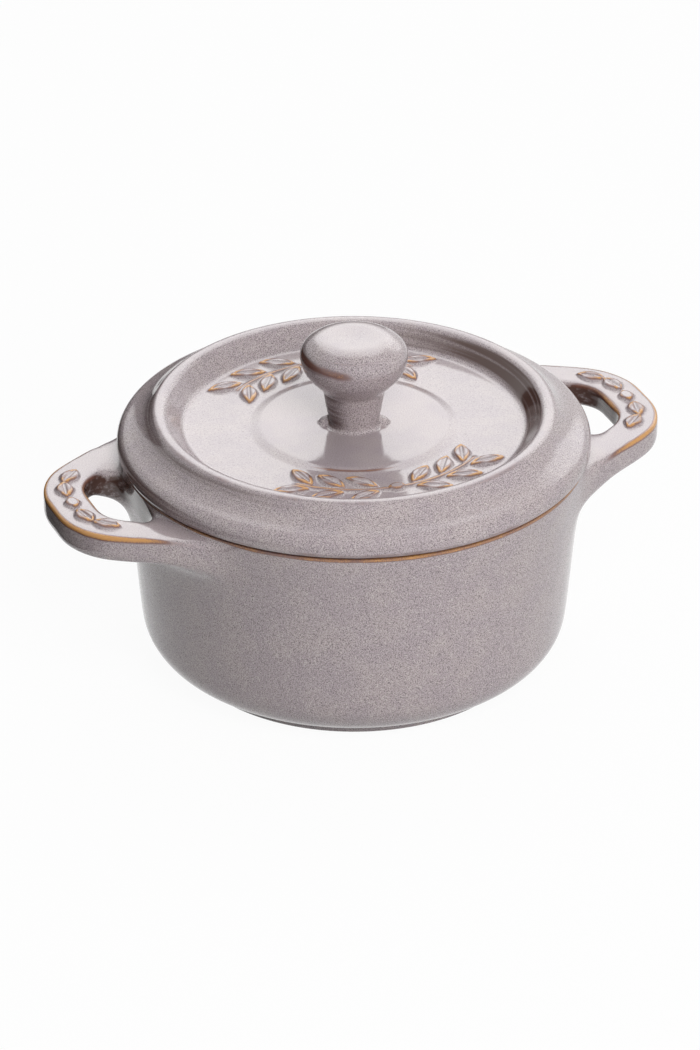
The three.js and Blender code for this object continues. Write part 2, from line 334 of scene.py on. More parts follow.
def reactive_glaze(colours):
    """Stoneware with a reactive gloss glaze.

    The glaze is a glassy coat full of fine light and dark grains, which melt into it where it lies level.
    It drifts between warm and lilac grey where it ran, and breaks to brown and amber where it drew thin
    over sharp edges. Brown streaks round steep slopes are painted shade, laid where slopes look away from
    the key light and inside the loops.
    """
    material, tree = empty_material("reactive_glaze")
    place = node(tree, "ShaderNodeTexCoord")
    here = place.outputs["Object"]
    grain = node(
        tree, "ShaderNodeTexNoise", {"Vector": here, "Scale": per_metre(GRAIN_WIDTH), "Detail": 1.5}
    )
    cloud = node(tree, "ShaderNodeTexNoise", {"Vector": here, "Scale": per_metre(CLOUD_WIDTH), "Detail": 3})
    bend = node(tree, "ShaderNodeAttribute", attribute_name="bend").outputs["Fac"]
    # where the streaks of painted shade go
    streak_shade = node(tree, "ShaderNodeAttribute", attribute_name="streak_shade").outputs["Fac"]

    facing = node(tree, "ShaderNodeSeparateXYZ", {0: place.outputs["Normal"]})
    start, full = LEVEL_GLAZE
    level = node(
        tree, "ShaderNodeMapRange",
        {"Value": facing.outputs["Z"], "From Min": start, "From Max": full, "To Max": LEVEL_CALM},
        interpolation_type="SMOOTHSTEP",
    )
    grain = node(tree, "ShaderNodeMix", {0: level.outputs[0], 2: grain.outputs["Fac"], 3: GRAIN_MIDDLE})

    flat = node(tree, "ShaderNodeVectorMath", {0: here, 1: (1, 1, 0)}, operation="MULTIPLY")
    radius = node(tree, "ShaderNodeVectorMath", {0: flat.outputs[0]}, operation="LENGTH")
    height = node(tree, "ShaderNodeSeparateXYZ", {0: here})
    rings = node(tree, "ShaderNodeCombineXYZ", {0: radius.outputs["Value"], 2: height.outputs["Z"]})
    rings = node(
        tree, "ShaderNodeVectorMath",
        {0: here, 1: (STREAK_DRIFT, STREAK_DRIFT, 0), 2: rings.outputs[0]},
        operation="MULTIPLY_ADD",
    )
    streak = node(
        tree, "ShaderNodeTexNoise",
        {"Vector": rings.outputs[0], "Scale": per_metre(STREAK_WIDTH), "Detail": 1},
    )
    streaky_shade = node(tree, "ShaderNodeMath", {0: streak.outputs["Fac"], 1: streak_shade}, operation="MULTIPLY")
    drift = node(
        tree, "ShaderNodeMath",
        {0: cloud.outputs["Fac"], 1: BREAK_CLOUDS, 2: bend},
        operation="MULTIPLY_ADD",
    )
    drawn = node(
        tree, "ShaderNodeMath",
        {0: grain.outputs[0], 1: BREAK_GRAINS, 2: drift.outputs[0]},
        operation="MULTIPLY_ADD",
    )

    # Each layer: what it follows, where it starts and is full, how much of it shows, its colour
    layers = (
        (cloud, 0.35, 0.65, 1, colours.glaze_lilac),
        (grain, 0.5, 0.34, 0.95, colours.glaze_dark),
        (grain, 0.54, 0.7, 0.8, colours.glaze_light),
        # streaks of painted shade in umber
        (streaky_shade, 0, 0.6, 1, colours.umber_and_shade),
        (drawn, 0.9, 1.2, 0.85, colours.brown),
        (drawn, 1.15, 1.55, 1, colours.amber),
    )
    tint = (*colours.glaze, 1)
    for follows, low, high, most, shade in layers:
        share = node(
            tree, "ShaderNodeMapRange",
            {"Value": follows.outputs[0], "From Min": low, "From Max": high, "To Max": most},
            interpolation_type="SMOOTHSTEP",
        )
        mixed = node(
            tree, "ShaderNodeMix",
            {0: share.outputs[0], 6: tint, 7: (*shade, 1)},
            data_type="RGBA",
        )
        tint = mixed.outputs[2]

    ripple = node(
        tree, "ShaderNodeTexNoise", {"Vector": here, "Scale": per_metre(RIPPLE_WIDTH), "Detail": 1}
    )
    bump = node(
        tree, "ShaderNodeBump",
        {"Height": ripple.outputs["Fac"], "Strength": 0.25, "Distance": RIPPLE_DEPTH * MM},
    )
    shader = node(
        tree, "ShaderNodeBsdfPrincipled",
        {"Base Color": tint, "Roughness": 0.1, "IOR": 1.52, "Normal": bump.outputs[0]},
    )
    node(tree, "ShaderNodeOutputMaterial", {"Surface": shader.outputs[0]})
    return material


def bare_stoneware(colours):
    """Unglazed stoneware: wiped clean before firing, so it is pale, dry and finely gritty."""
    material, tree = empty_material("bare_stoneware")
    here = node(tree, "ShaderNodeTexCoord").outputs["Object"]
    grit = node(tree, "ShaderNodeTexNoise", {"Vector": here, "Scale": per_metre(GRIT_WIDTH), "Detail": 2})
    tint = node(
        tree, "ShaderNodeMix",
        {0: grit.outputs["Fac"], 6: (*colours.clay, 1), 7: (*colours.grit, 1)},
        data_type="RGBA",
    )
    bump = node(
        tree, "ShaderNodeBump",
        {"Height": grit.outputs["Fac"], "Strength": 0.5, "Distance": GRIT_DEPTH * MM},
    )
    shader = node(
        tree, "ShaderNodeBsdfPrincipled",
        {"Base Color": tint.outputs[2], "Roughness": 0.85, "Normal": bump.outputs[0]},
    )
    node(tree, "ShaderNodeOutputMaterial", {"Surface": shader.outputs[0]})
    return material


def seen_in_picture(tree):
    """1 for what the camera sees, directly or through gloss and glass, and 0 for what only gives light."""
    ray = node(tree, "ShaderNodeLightPath")
    seen = node(
        tree, "ShaderNodeMath",
        {0: ray.outputs["Is Camera Ray"], 1: ray.outputs["Is Glossy Ray"]},
        operation="MAXIMUM",
    )
    seen = node(
        tree, "ShaderNodeMath",
        {0: seen.outputs[0], 1: ray.outputs["Is Transmission Ray"]},
        operation="MAXIMUM",
    )
    return seen.outputs[0]


def paper_floor(colours):
    """Matt studio paper that reads as white to the camera and keeps a share of the shadows on it."""
    material, tree = empty_material("studio_paper")
    share = node(tree, "ShaderNodeMath", {0: seen_in_picture(tree), 1: FLOOR_WHITE}, operation="MULTIPLY")
    paper = node(tree, "ShaderNodeBsdfDiffuse", {"Color": (*colours.floor, 1), "Roughness": 0.5})
    white = node(tree, "ShaderNodeEmission", {"Color": (1, 1, 1, 1), "Strength": 1})
    mixed = node(
        tree, "ShaderNodeMixShader", {0: share.outputs[0], 1: paper.outputs[0], 2: white.outputs[0]}
    )
    node(tree, "ShaderNodeOutputMaterial", {"Surface": mixed.outputs[0]})
    return material


def rounded(corners, arc_step):
    """Points along corners (x, y, radius, longest): rounds a corner and splits the run after it."""
    line = []
    split = 0
    for i, (x, y, radius, longest) in enumerate(corners):
        corner = Vector((x, y))
        arc = [corner]
        if radius:
            back = Vector(corners[i - 1][:2]) - corner
            ahead = Vector(corners[i + 1][:2]) - corner
            half = back.angle(ahead) / 2
            room = [
                side.length / (2 if other[2] else 1)
                for side, other in ((back, corners[i - 1]), (ahead, corners[i + 1]))
            ]
            reach = min(radius / math.tan(half), *room)
            middle = (back.normalized() + ahead.normalized()).normalized() * (reach / math.cos(half))
            start = back.normalized() * reach - middle
            end = ahead.normalized() * reach - middle
            turn = math.atan2(start.cross(end), start.dot(end))
            steps = math.ceil(abs(turn) / arc_step)
            arc = [
                corner + middle + Matrix.Rotation(turn * k / steps, 2) @ start
                for k in range(steps + 1)
            ]
        if line and split:
            run = arc[0] - line[-1]
            count = math.ceil(run.length / split)
            line += [line[-1] + run * k / count for k in range(1, count)]
        line += arc
        split = longest
    return line


def spaced(line, spans):
    """Points that cut a line into spans of equal length."""
    steps = [(b - a).length for a, b in zip(line, line[1:])]
    ends = np.concatenate([[0], np.cumsum(steps)])
    along = np.linspace(0, ends[-1], spans + 1)
    columns = [np.interp(along, ends, [p[axis] for p in line]) for axis in (0, 1)]
    return [Vector(p) for p in zip(*columns)]


def through(points):
    """Cage points whose smoothed curve runs through the points given, and is mirrored at the first."""
    cage = list(points)
    for _ in range(FIT_ROUNDS):
        before = [Vector((cage[1].x, -cage[1].y)), *cage[:-1]]
        after = [*cage[1:], 2 * cage[-1] - cage[-2]]
        cage = [c + p - (a + 4 * c + b) / 6 for a, c, b, p in zip(before, cage, after, points)]
    return cage


def turned(points, steps):
    """A skin turned about Z from points (radius, height) that start and end on the axis."""
    bm = bmesh.new()
    verts = [bm.verts.new((p.x, 0, p.y)) for p in points]
    edges = [bm.edges.new(pair) for pair in zip(verts, verts[1:])]
    bmesh.ops.spin(
        bm, geom=verts + edges, axis=(0, 0, 1), cent=(0, 0, 0), angle=math.tau, steps=steps, use_merge=True
    )
    bmesh.ops.remove_doubles(bm, verts=bm.verts, dist=MERGE)
    bmesh.ops.recalc_face_normals(bm, faces=bm.faces)
    return bm


def mesh_of(bm, name):
    mesh = bpy.data.meshes.new(name)
    bm.to_mesh(mesh)
    bm.free()
    return mesh


def add_object(name, data):
    made = bpy.data.objects.new(name, data)
    bpy.context.scene.collection.objects.link(made)
    return made


def positions(mesh):
    flat = np.empty(len(mesh.vertices) * 3)
    mesh.vertices.foreach_get("co", flat)
    return flat.reshape(-1, 3)


def normals(mesh):
    flat = np.empty(len(mesh.vertices) * 3)
    mesh.vertex_normals.foreach_get("vector", flat)
    return flat.reshape(-1, 3)


def eased(value, start, full):
    """0 up to start, 1 past full, and a smooth rise between. Full may be the lower of the two."""
    share = np.clip((value - start) / (full - start), 0, 1)
    return share * share * (3 - 2 * share)


def from_axis(at):
    """How far points lie from the axis."""
    return np.hypot(at[:, 0], at[:, 1])


def turn_away(at, middle):
    """How far round the axis points lie from a direction, either way."""
    turn = np.arctan2(at[:, 1], at[:, 0]) - middle
    return np.abs((turn + math.pi) % math.tau - math.pi)


def looking(normal, side):
    """Part of the skin's direction that looks to one side."""
    return normal[:, :2] @ (math.cos(side), math.sin(side))


def leaf_relief(at, leaves):
    """How high raised leaves (x, y, turn, length, width, point) stand at plan points, from 0 to 1.

    A leaf has a groove along its rib, and a berry has none.
    """
    height = np.zeros(len(at))
    for x, y, turn, long, wide, point in leaves:
        across = at[:, :2] - (x, y)
        u = across @ (math.cos(turn), math.sin(turn)) / (long / 2)
        v = across @ (-math.sin(turn), math.cos(turn))
        half = wide / 2 * np.clip(1 - u * u, 0, 1) ** point
        leaf = eased(half - np.abs(v), 0, LEAF_EDGE)
        if point == LEAF_POINT:
            leaf *= 1 - RIB_DEPTH * np.exp(-((v / LEAF_RIB) ** 2)) * eased(np.abs(u), *RIB_ENDS)
        height = np.maximum(height, leaf)
    return height


def outward_bend(mesh, rounds):
    """How sharply the skin bends outwards at each vertex, spread over rounds of neighbours."""
    mesh.update()
    count = len(mesh.vertices)
    at = positions(mesh)
    normal = normals(mesh)
    ends = np.empty(len(mesh.edges) * 2, np.int64)
    mesh.edges.foreach_get("vertices", ends)
    a, b = ends.reshape(-1, 2).T
    along = at[b] - at[a]
    curve = ((normal[b] - normal[a]) * along).sum(1) / np.maximum((along ** 2).sum(1), TINY)
    bend = np.zeros(count)
    np.maximum.at(bend, a, curve)
    np.maximum.at(bend, b, curve)
    near = np.bincount(a, minlength=count) + np.bincount(b, minlength=count)
    for _ in range(rounds):
        sums = np.bincount(a, bend[b], count) + np.bincount(b, bend[a], count)
        bend = (bend + sums / np.maximum(near, 1)) / 2
    return bend


def store(mesh, name, values):
    """Keeps one number for each vertex, for the glaze to read."""
    mesh.attributes.new(name, "FLOAT", "POINT").data.foreach_set("value", values.astype(np.float32))


def finish_piece(name, mesh, body, *materials):
    """Brings a mesh made in millimetres to metres, and gives it to its body in place of the solid."""
    mesh.transform(Matrix.Scale(MM, 4))
    mesh.shade_smooth()
    for material in materials:
        mesh.materials.append(material)
    piece = add_object(name, mesh)
    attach(piece, body)
    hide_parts(body)
    return piece


def glaze_once(colours):
    return bpy.data.materials.get("reactive_glaze") or reactive_glaze(colours)


class PotShape:
    """The pot's main lines in millimetres, from the sizes that a user can change."""

    def __init__(self, sizes):
        self.height = sizes.pot_height / MM
        self.rim = sizes.rim_radius / MM
        self.wall = sizes.wall_thickness / MM
        self.reach = sizes.handle_reach / MM - HANDLE_TRIM
        self.thickness = sizes.handle_thickness / MM
        self.band = sizes.handle_band / MM
        self.top = self.height - HANDLE_DROP
        self.root_foot = self.top - self.thickness - ROOT_SWEEP
        self.floor = FOOT_HEIGHT + FLOOR_THICKNESS

    def outside(self, z):
        return WALL_RADIUS + (z - FOOT_HEIGHT) * math.tan(WALL_LEAN)

    def inside(self, z):
        return self.outside(z) - self.wall

    def profile(self):
        """Half of the pot's section, from the middle of its underside to the middle of its floor."""
        ring = FOOT_RADIUS - FOOT_WIDTH
        foot = [
            (0, FOOT_HEIGHT),
            *((ring - inwards, FOOT_HEIGHT) for inwards in UNDERSIDE_POINTS),
            (ring, FOOT_HEIGHT - FOOT_EDGE),
            (ring, FOOT_EDGE),
            (ring + FOOT_EDGE, 0),
            (FOOT_RADIUS - FOOT_EDGE, 0),
            (FOOT_RADIUS, FOOT_EDGE),
            (FOOT_RADIUS, FOOT_HEIGHT - FOOT_EDGE),
        ]
        belly = rounded(
            [
                (0, FOOT_HEIGHT, 0, 0),
                (WALL_RADIUS, FOOT_HEIGHT, BELLY_FILLET, 0),
                (self.outside(self.root_foot), self.root_foot, 0, 0),
            ],
            BELLY_STEP,
        )
        belly = [p for p in belly[:-1] if p.x > FOOT_RADIUS + FOOT_EDGE]
        waist = (belly[-1].y + self.root_foot) / 2
        wall = [
            (self.outside(waist), waist),
            (self.outside(self.root_foot), self.root_foot),
            ((self.outside(self.root_foot) + self.rim) / 2 + ROOT_SWELL, (self.root_foot + self.top) / 2),
            (self.rim, self.top),
        ]
        mouth = self.inside(self.height)
        rim = [
            (self.rim, self.height - RIM_CORNER),
            (self.rim - RIM_CORNER, self.height),
            (self.rim - RIM_FLAT, self.height),
            (mouth + RIM_FLAT, self.height),
            (mouth + RIM_CORNER, self.height),
            (mouth, self.height - RIM_CORNER),
            (mouth, self.height - RIM_FLAT),
        ]
        hollow = rounded(
            [
                (mouth, self.height - RIM_FLAT, 0, HOLLOW_SPAN),
                (self.inside(self.floor), self.floor, INSIDE_FILLET, HOLLOW_SPAN),
                (0, self.floor, 0, 0),
            ],
            HOLLOW_STEP,
        )
        lines = [Vector(p) for p in foot] + belly + [Vector(p) for p in wall + rim]
        return lines + hollow[1:]

    def outlines(self):
        """Cage points along half the plan of a handle: its hole, then its outside."""
        root = self.rim - ROOT_DEPTH
        hole_end = self.reach - self.band
        shoulder = Vector((self.reach, HANDLE_SHOULDER))
        tangent = math.atan2(shoulder.y, shoulder.x) + math.acos(root / shoulder.length)
        hole = [
            (hole_end, 0, 0, 0),
            (hole_end, HOLE_HALF_WIDTH, HOLE_FILLET, 0),
            (root, HOLE_HALF_WIDTH, 0, 0),
        ]
        outer = [
            (self.reach, 0, 0, 0),
            (self.reach, HANDLE_SHOULDER, HANDLE_END_FILLET, 0),
            (root * math.cos(tangent), root * math.sin(tangent), 0, 0),
        ]
        return [through(spaced(rounded(line, OUTLINE_STEP), HANDLE_SPANS)) for line in (hole, outer)]

    def section(self, hole, outer, sweep):
        """Eight points round a handle's section, from its top inner edge outwards and back underneath."""
        middle = (hole + outer) / 2
        top = self.top
        under = self.top - self.thickness - sweep
        half = (top + under) / 2
        return [
            (*hole, top),
            (*middle, top),
            (*outer, top),
            (*outer, half),
            (*outer, under),
            (*middle, under),
            (*hole, under + HOLE_EASE),
            (*hole, half),
        ]


def root_faces(bm, shape):
    """The faces of the wall that the four arms grow from."""
    side = 360 / CAGE_TURN
    found = []
    for face in bm.faces:
        x, y, z = face.calc_center_median()
        turn = math.degrees(math.atan2(abs(y), abs(x)))
        on_wall = math.hypot(x, y) > shape.rim - shape.wall / 2 and shape.root_foot < z < shape.top
        if on_wall and side < turn < 3 * side:
            found.append(face)
    return found


def add_handle(bm, shape, side):
    """Lays sections round one loop and bridges them from wall to wall. Side is 1 for +X and -1 for -X."""
    edge_tag = bm.verts.layers.int.get("edge") or bm.verts.layers.int.new("edge")
    hole, outer = shape.outlines()
    loops = []
    for step in range(-HANDLE_SECTIONS, HANDLE_SECTIONS + 1):
        turn = math.copysign(1, step)
        plans = [Vector((line[abs(step)].x, line[abs(step)].y * turn)) for line in (hole, outer)]
        clear = min(plan.length for plan in plans) - shape.rim
        sweep = ROOT_SWEEP * max(0, 1 - clear / ROOT_RUN) ** 2
        points = shape.section(*plans, sweep)
        ring = [bm.verts.new((side * x, side * y, z)) for x, y, z in points]
        ring[0][edge_tag] = 1
        ring[2][edge_tag] = 2
        loops.append([bm.edges.new(pair) for pair in zip(ring, ring[1:] + ring[:1])])
    open_edges = [e for e in bm.edges if e.is_boundary]

    def root(y_sign):
        return [
            e for e in open_edges
            if all(v.co.x * side > 0 and v.co.y * side * y_sign > 0 for v in e.verts)
        ]

    loops = [root(-1), *loops, root(1)]
    for near, far in zip(loops, loops[1:]):
        bmesh.ops.bridge_loops(bm, edges=near + far)


def crease_handles(bm, shape):
    """Keeps the top edges of the loops crisp at their ends, and lets them soften towards the wall."""
    edge_tag = bm.verts.layers.int["edge"]
    crease = bm.edges.layers.float.new("crease_edge")
    for edge in bm.edges:
        a, b = (v[edge_tag] for v in edge.verts)
        if a and a == b:
            out = sum(v.co.xy.length for v in edge.verts) / 2 - shape.rim
            edge[crease] = EDGE_CREASES[a - 1] * min(1, max(0, (out - CREASE_START) / CREASE_RUN))


def smoothed(bm, name, levels):
    """The mesh of a cage after subdivision."""
    mesh = mesh_of(bm, name)
    cage = add_object(name, mesh)
    cage.modifiers.new("smooth", "SUBSURF")
    cage.modifiers["smooth"].levels = levels
    cage.modifiers["smooth"].render_levels = levels
    ready = cage.evaluated_get(bpy.context.evaluated_depsgraph_get())
    smooth = bpy.data.meshes.new_from_object(ready)
    bpy.data.objects.remove(cage)
    bpy.data.meshes.remove(mesh)
    return smooth


def handle_leaves(shape):
    """A berry between two rows of leaves along the end of each handle."""
    hole, outer = shape.outlines()
    middle = [(a + b) / 2 for a, b in zip(hole, outer)]
    middle = [Vector((p.x, -p.y)) for p in middle[:0:-1]] + middle
    line = spaced(middle, LINE_SPANS)
    step = (line[1] - line[0]).length
    leaves = []
    for place in range(-HANDLE_LEAF_COUNT, HANDLE_LEAF_COUNT + 1):
        i = LINE_SPANS // 2 + round(place * HANDLE_LEAF_STEP / step)
        along = line[i + 1] - line[i - 1]
        turn = math.atan2(along.y, along.x)
        leaf = (*HANDLE_LEAF, LEAF_POINT) if place else (HANDLE_BERRY, HANDLE_BERRY, BERRY_POINT)
        leaves.append((line[i].x, line[i].y, turn, *leaf))
    return leaves + [(-x, -y, turn, *leaf) for x, y, turn, *leaf in leaves]


def loop_painted_shade(shape, at, normal):
    """Painted shade, umber with streaks, on the steep faces that look into the hole of a loop."""
    centre = (shape.rim + shape.reach - shape.band) / 2
    into = np.stack([centre - np.abs(at[:, 0]), -at[:, 1]], axis=1)
    away = np.maximum(np.linalg.norm(into, axis=1), TINY)
    facing = (normal[:, 0] * np.sign(at[:, 0]) * into[:, 0] + normal[:, 1] * into[:, 1]) / away
    streak_shade = LOOP_SHADE * eased(np.abs(normal[:, 2]), *LOOP_STEEP) * eased(facing, *LOOP_FACING)
    height = at[:, 2] - shape.top
    streak_shade *= eased(height + shape.thickness, *LOOP_LOW) * eased(height, *LOOP_HIGH)
    return streak_shade * eased(away - HOLE_HALF_WIDTH, *LOOP_REACH)


class COCOTTE_OT_pot(bpy.types.Operator):
    """Models the pot with its loop handles"""

    bl_idname = "cocotte.pot"
    bl_label = "Pot"

    def execute(self, context):
        sizes = context.scene.cocotte_sizes
        colours = context.scene.cocotte_colours
        shape = PotShape(sizes)
        bm = turned(shape.profile(), CAGE_TURN)
        spread = 3 / (2 + math.cos(math.tau / CAGE_TURN))  # undoes how far a smoothed ring draws in
        bmesh.ops.scale(bm, vec=(spread, spread, 1), verts=bm.verts)
        roots = root_faces(bm, shape)
        if len(roots) != ROOT_FACES:
            raise RuntimeError("the arms of the handles don't meet the wall's faces")
        bmesh.ops.delete(bm, geom=roots, context="FACES")
        for side in (1, -1):
            add_handle(bm, shape, side)
        crease_handles(bm, shape)
        bmesh.ops.recalc_face_normals(bm, faces=bm.faces)
        mesh = smoothed(bm, "pot_cage", CAGE_LEVELS)

        bm = bmesh.new()
        bm.from_mesh(mesh)
        ends = [
            f for f in bm.faces
            if f.calc_center_median().z > shape.top - LEVEL_MARGIN
            and abs(f.calc_center_median().x) > shape.reach - shape.band - END_ZONE
        ]
        edges = list({e for f in ends for e in f.edges})
        bmesh.ops.subdivide_edges(bm, edges=edges, cuts=1, use_grid_fill=True)
        bm.to_mesh(mesh)
        bm.free()

        broad = outward_bend(mesh, POT_SPREAD)
        at = positions(mesh)
        # the break inside the rim's radius is held to brown: the glaze's break, partly painted shade under
        # the lid
        broad = np.where(from_axis(at) > shape.rim, broad, np.minimum(broad, RIM_SHADED_BEND))
        normal = normals(mesh)
        broad *= eased(normal[:, 2], *BREAK_UPWARD)
        # painted shade, umber with streaks, inside the loops
        streak_shade = loop_painted_shade(shape, at, normal)
        on_top = eased(at[:, 2] - shape.top, *HANDLE_TOP) * (np.abs(at[:, 0]) > shape.rim)
        at[:, 2] += sizes.leaf_height / MM * leaf_relief(at, handle_leaves(shape)) * on_top
        mesh.vertices.foreach_set("co", at.ravel())
        fine = LEAF_BEND * outward_bend(mesh, FINE_SPREAD) * (on_top > 0)
        store(mesh, "bend", np.maximum(broad, fine))
        store(mesh, "streak_shade", streak_shade)
        piece = finish_piece("glazed_pot", mesh, "pot", glaze_once(colours), bare_stoneware(colours))
        for face in piece.data.polygons:
            face.material_index = int(face.center.z < BARE_HEIGHT * MM)
        return {"FINISHED"}


def lid_profile(sizes):
    """Half of the lid's section, from the middle of its underside round its edge to the top of the knob."""
    seat = sizes.pot_height / MM + SEAT_GAP
    edge = sizes.lid_radius / MM
    knob = sizes.knob_radius / MM
    ledge = edge - SHOULDER_WIDTH
    ridge_top = seat + RIDGE_HEIGHT
    ridge_inside = ledge - RIDGE_RUN - RIDGE_TOP
    well_floor = ridge_top - WELL_DEPTH
    disc_top = well_floor + DISC_STEP
    collar_inside = COLLAR_RADIUS - COLLAR_WIDTH
    collar_end = seat - sizes.collar_depth / MM
    stem_top = disc_top + STEM_HEIGHT
    belly = stem_top + KNOB_BELLY_RISE
    side = belly + KNOB_SIDE_RISE
    head_top = side + KNOB_TOP_RISE
    corners = [
        (0, disc_top - LID_THICKNESS, 0, UNDERSIDE_SPAN),
        (DISC_RADIUS, disc_top - LID_THICKNESS, DISC_RADIUS, UNDERSIDE_SPAN),
        (collar_inside, well_floor - LID_THICKNESS, COLLAR_FILLET, COLLAR_SPAN),
        (collar_inside, collar_end, COLLAR_FILLET, COLLAR_SPAN),
        (COLLAR_RADIUS, collar_end, COLLAR_FILLET, COLLAR_SPAN),
        (COLLAR_RADIUS, seat, COLLAR_FILLET / 2, COLLAR_SPAN),
        (edge, seat, LID_SEAT_FILLET, SKIN_SPAN),
        (edge, seat + LID_EDGE_HEIGHT, LID_EDGE_FILLET, SKIN_SPAN),
        (ledge, seat + LID_EDGE_HEIGHT + SHOULDER_RISE, SHOULDER_FILLET, SKIN_SPAN),
        (ledge - RIDGE_RUN, ridge_top, RIDGE_FILLET, SKIN_SPAN),
        (ridge_inside, ridge_top, RIDGE_INSIDE_FILLET, SKIN_SPAN),
        (ridge_inside - WELL_SLOPE, well_floor, WELL_FILLET, BAND_STEP),
        (DISC_RADIUS + DISC_RUN, well_floor, DISC_FILLET, SKIN_SPAN),
        (DISC_RADIUS, disc_top, DISC_FILLET, SKIN_SPAN),
        (LUG_PLACE + LUG_SPLIT_REACH, disc_top, 0, LUG_SPAN),
        (STEM_FOOT, disc_top, STEM_FILLET, STEM_SPAN),
        (STEM_TOP, stem_top, NECK_FILLET, SKIN_SPAN),
        (KNOB_BELLY_RADIUS, belly, KNOB_FILLET, SKIN_SPAN),
        (knob, side, KNOB_FILLET, SKIN_SPAN),
        (KNOB_TOP_RADIUS, head_top, KNOB_FILLET, SKIN_SPAN),
        (0, head_top - KNOB_DIMPLE, 0, 0),
    ]
    return rounded(corners, LID_STEP), disc_top


def lid_leaves():
    """Two sprays of paired leaves, each growing both ways from a berry."""
    leaves = []
    for middle in LID_SPRAYS:
        x, y = (LID_SPRAY_RADIUS * c for c in (math.cos(middle), math.sin(middle)))
        leaves.append((x, y, 0, LID_BERRY, LID_BERRY, BERRY_POINT))
        for way in (-1, 1):
            for pair in range(LID_LEAF_NODES):
                angle = middle + way * LID_LEAF_STEP * (pair + 1)
                for out in (-1, 1):
                    radius = LID_SPRAY_RADIUS + out * LID_LEAF_SPREAD
                    along = angle + way * math.pi / 2
                    turn = along - way * out * LID_LEAF_TILT
                    x, y = radius * math.cos(angle), radius * math.sin(angle)
                    leaves.append((x, y, turn, *LID_LEAF, LEAF_POINT))
    return leaves


def stalks(at):
    """How high the stalks of the sprays stand at plan points, from 0 to 1."""
    radius = from_axis(at)
    height = np.zeros(len(at))
    for middle in LID_SPRAYS:
        off = turn_away(at, middle)
        ends = (LID_LEAF_STEP * (LID_LEAF_NODES + STALK_PAST) - off) * LID_SPRAY_RADIUS
        beside = STALK_WIDTH / 2 - np.abs(radius - LID_SPRAY_RADIUS)
        stalk = eased(beside, -LEAF_EDGE / 2, LEAF_EDGE / 2) * eased(ends, 0, STALK_END)
        height = np.maximum(height, STALK_HEIGHT * stalk)
    return height


def disc_break(at):
    """How far the glaze breaks along an arc of the disc's edge."""
    off = turn_away(at, DISC_BREAK_MIDDLE)
    across = from_axis(at) - DISC_RADIUS - DISC_RUN / 2
    return DISC_BREAK * np.exp(-((across / DISC_BREAK_WIDTH) ** 2)) * eased(off, *DISC_BREAK_ENDS)


def lid_streaks_and_shade(sizes, at, normal, disc_top):
    """Streaks of painted shade on the steep slopes of the lid, stem and knob that look left, away from the
    key light, and how far the glaze broke on the knob.
    """
    radius = from_axis(at)
    height = at[:, 2] - disc_top
    edge = sizes.lid_radius / MM
    crest = edge - SHOULDER_WIDTH - RIDGE_RUN - RIDGE_TOP / 2
    shoulder = sizes.pot_height / MM + SEAT_GAP + LID_EDGE_HEIGHT + SHOULDER_RISE
    sideways = looking(normal, SHADE_SIDE)
    inside = (radius < crest) & (radius > DISC_RADIUS + DISC_RUN) & (height > -WELL_ZONE)
    on_ridge = at[:, 2] > shoulder - RIDGE_ZONE
    outside = (radius > crest) & on_ridge
    rim = (radius > edge - SHOULDER_WIDTH) & ~on_ridge
    stem = (radius < STEM_TOP + LUG_RADIUS) & (height > STEM_ZONE)
    stem &= height < STEM_HEIGHT + KNOB_BELLY_RISE / 2
    streak_shade = eased(sideways, *RIDGE_SHARE) * (RIDGE_INSIDE_SHADE * inside + RIDGE_OUTSIDE_SHADE * outside)
    streak_shade += eased(sideways, *EDGE_SHARE) * EDGE_SHADE * rim
    streak_shade += eased(sideways, *STEM_SHARE) * STEM_SHADE * stem
    streak_shade *= eased(normal[:, 2], *SHADE_STEEP)

    knob = (radius < DISC_RADIUS) & (height > STEM_HEIGHT)
    facing = looking(normal, KNOB_SIDE)
    off = (normal[:, 2] - BELT_RISE * facing) / (BELT_WIDTH + BELT_SPREAD * np.abs(facing))
    belt = np.exp(-(off ** 2)) * eased(facing, *BELT_SHARE) * knob
    # the knob's belt breaks the glaze, and where it looks left it also carries umber as painted shade
    return streak_shade + KNOB_SHADE * belt * eased(sideways, *KNOB_SHARE), KNOB_BREAK * belt


